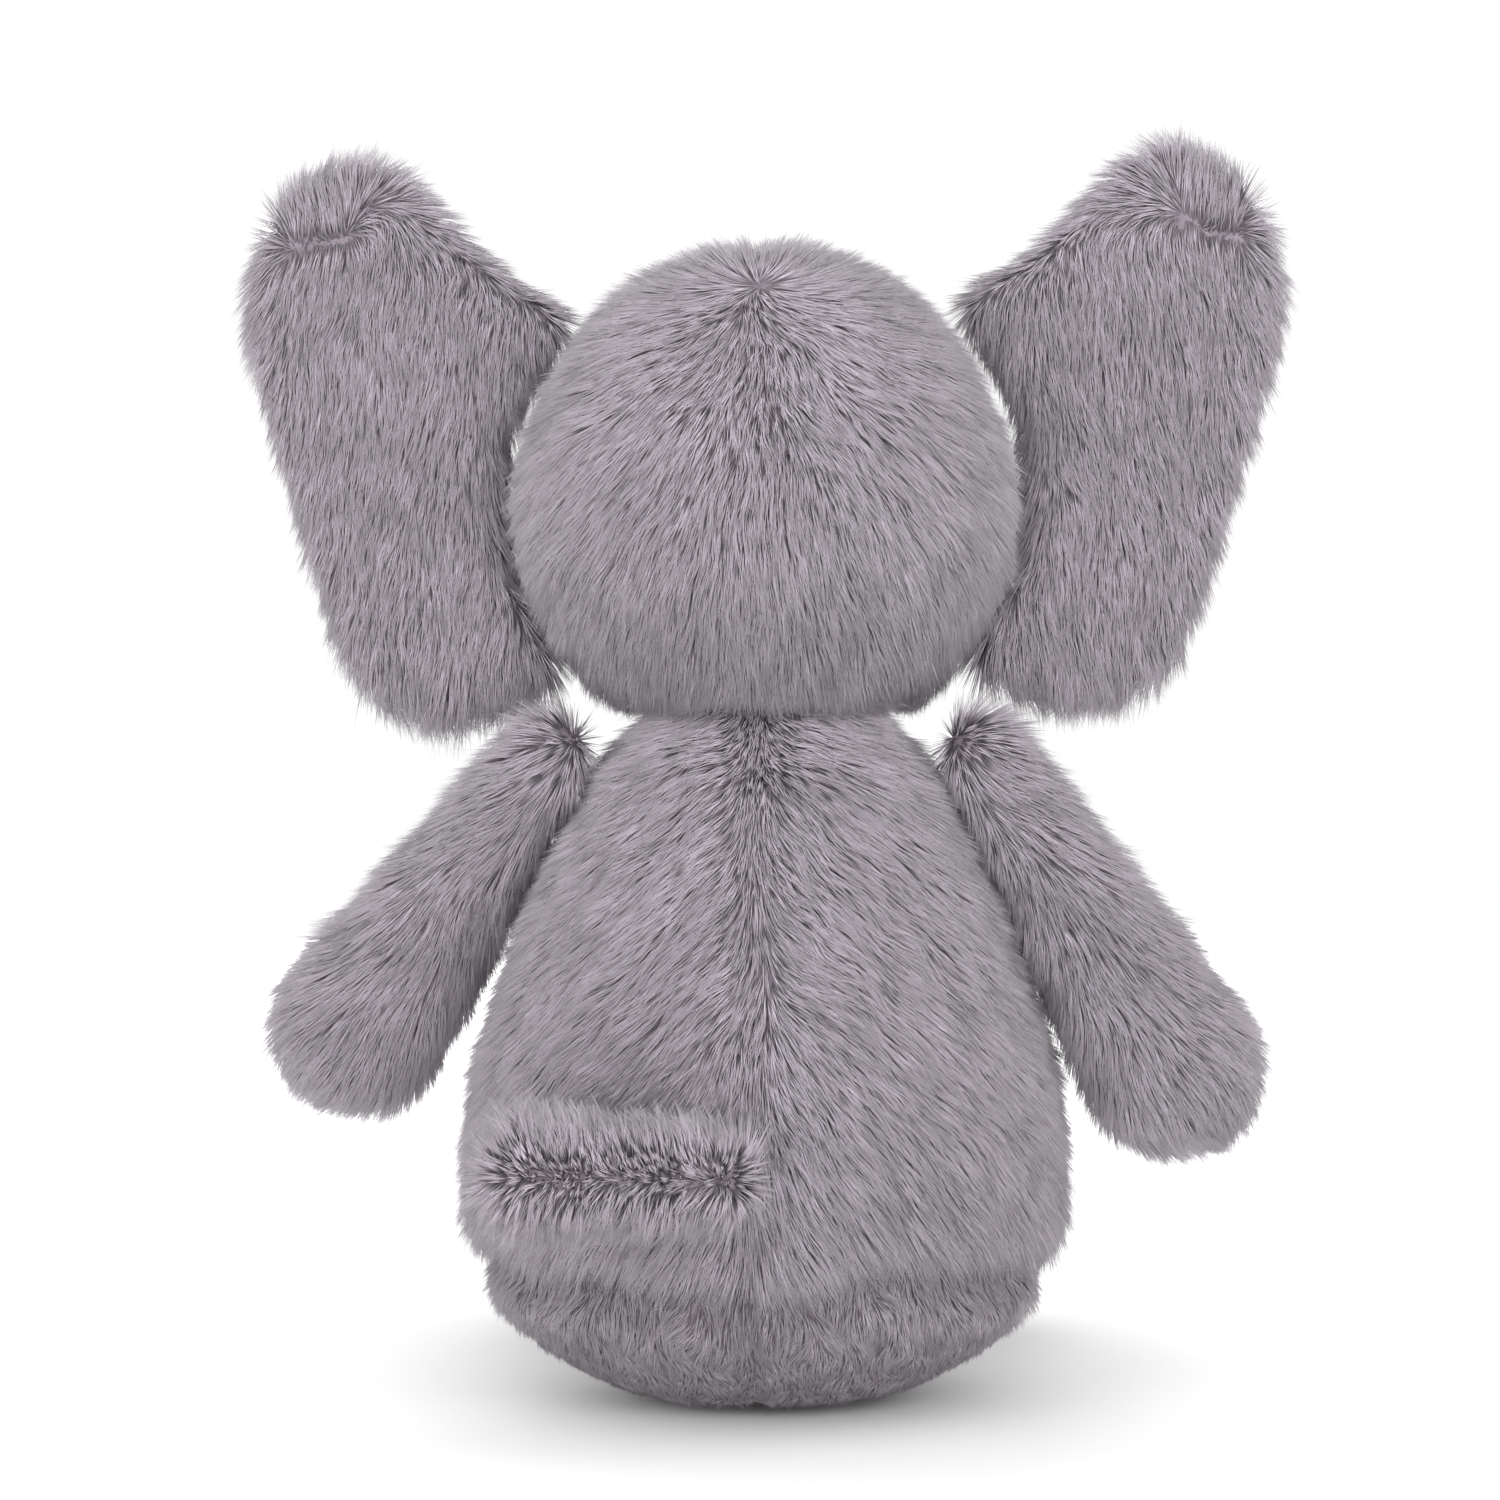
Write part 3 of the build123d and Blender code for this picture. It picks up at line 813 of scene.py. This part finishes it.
def make_ear(side, name):
    hinge, out, back = ear_frame(side, name)
    shape = bmesh.new()
    shape.from_mesh(frame["nodes"][f"ear_{name}_outer_panel"].data)
    bmesh.ops.remove_doubles(shape, verts=shape.verts, dist=0.02 * MM)
    depth = [Vector(back).dot(v.co) for v in shape.verts]
    cut = (min(depth) + max(depth)) / 2
    inner_face = [v for v, d in zip(shape.verts, depth) if d < cut]
    bmesh.ops.translate(shape, vec=Vector(back) * -8.5 * MM, verts=inner_face)
    body = soft_body(f"ear_{name}_body", shape, voxel=3.5 * MM, smooth=5, cap=1.2 * MM, sink=1.5 * MM)
    attach = bends()
    dress([body], GREY_BACKING, attach, [f"ear_{name}_wadding"])
    points = points_of(body)
    low, high = points.min(0), points.max(0)
    centre = (points @ back).mean()
    # The fur spreads from a short line near the ear's top corner
    from_u, to_u = 34 * MM, 47 * MM
    line_z = high[2] - 14 * MM

    def behind(p):
        return p @ back > centre - 2.5 * MM

    def comb(p, normals):
        u = (p - hinge) @ out
        off_u = u - u.clip(from_u, to_u)
        off_z = p[:, 2] - line_z + 0.18 * (u - from_u) + 3 * MM * wave(p, 10 * MM, 71)
        spread = off_u[:, None] * out + off_z[:, None] * np.array((0, 0, 1.0))
        share = (1 / (1 + np.exp(-off_z / (4 * MM))))[:, None]
        down = np.array((0, 0, -1.0)) + SPREAD * np.maximum(off_u, 0)[:, None] * out
        return (1 - share) * down + share * unit(spread) * 1.2

    def length(p):
        fringe = np.clip((low[2] + 22 * MM - p[:, 2]) / (14 * MM), 0, 1)
        return (GREY_LENGTH + 3.5 * fringe) * MM

    fur = pile(
        body, [(f"ear_{name}_outer_pile", everywhere)], comb, length, density=2.7, trim=behind,
        seed=700 + side,
    )
    dress(fur, GREY_PILE, attach, [f"ear_{name}_outer_panel"])
    lining = pile(
        body, [(f"ear_{name}_lining_pile", everywhere)],
        lambda p, n: np.tile((0.0, 0.0, -1.0), (len(p), 1)), lambda p: np.full(len(p), 8 * MM),
        density=1.5, trim=lambda p: ~behind(p), seed=720 + side,
    )
    dress(lining, PALE_PILE, attach, [f"ear_{name}_inner_panel"])


# ---- stage ---------------------------------------------------------------------

def make_stage():
    """A pale sweep of floor, soft light all round, and the camera behind the elephant."""
    shape = bmesh.new()
    bmesh.ops.create_grid(shape, x_segments=1, y_segments=1, size=6)
    floor = new_piece("floor", shape)
    finish, tree = material("pale_floor")
    shader = node(tree, "ShaderNodeBsdfPrincipled", {"Base Color": linear("#fafafa"), "Roughness": 0.9})
    finish_with(tree, shader)
    floor.data.materials.append(finish)
    scene = bpy.context.scene
    world = scene.world or bpy.data.worlds.new("studio")
    scene.world = world
    world.use_nodes = True
    sky = world.node_tree.nodes["Background"].inputs
    sky["Color"].default_value = (1, 1, 1, 1)
    sky["Strength"].default_value = 1.05
    for name, place, size, power in (
        ("key", (-0.4, 1.5, 0.35), 1.2, 17.0),
        ("fill", (0.9, 1.0, 0.15), 0.9, 6.5),
        ("face", (0.3, -1.5, 0.6), 1.2, 12.0),
    ):
        data = bpy.data.lights.new(name, "AREA")
        data.size = size
        data.energy = power
        light = bpy.data.objects.new(name, data)
        light.location = place
        aim = Vector((0, 0, 0.15)) - Vector(place)
        light.rotation_euler = aim.to_track_quat("-Z", "Y").to_euler()
        scene.collection.objects.link(light)
    target = Vector((3.6 * MM, 0, 155.5 * MM))
    distance, tilt, field = 1.15, math.radians(1.5), 0.360
    data = bpy.data.cameras.new("camera")
    data.sensor_width = 36
    data.lens = data.sensor_width * distance / field
    camera = bpy.data.objects.new("camera", data)
    camera.location = target + distance * Vector((0, math.cos(tilt), math.sin(tilt)))
    camera.rotation_euler = (target - camera.location).to_track_quat("-Z", "Y").to_euler()
    scene.collection.objects.link(camera)
    scene.camera = camera
    scene.view_settings.view_transform = "Standard"


make_stage()
make_torso()
make_head()
make_trunk()
make_tail()
for side, name in ((1, "left"), (-1, "right")):
    make_ear(side, name)
    make_arm(side, name)
    make_leg(side, name)
bpy.data.meshes.remove(HAIR)
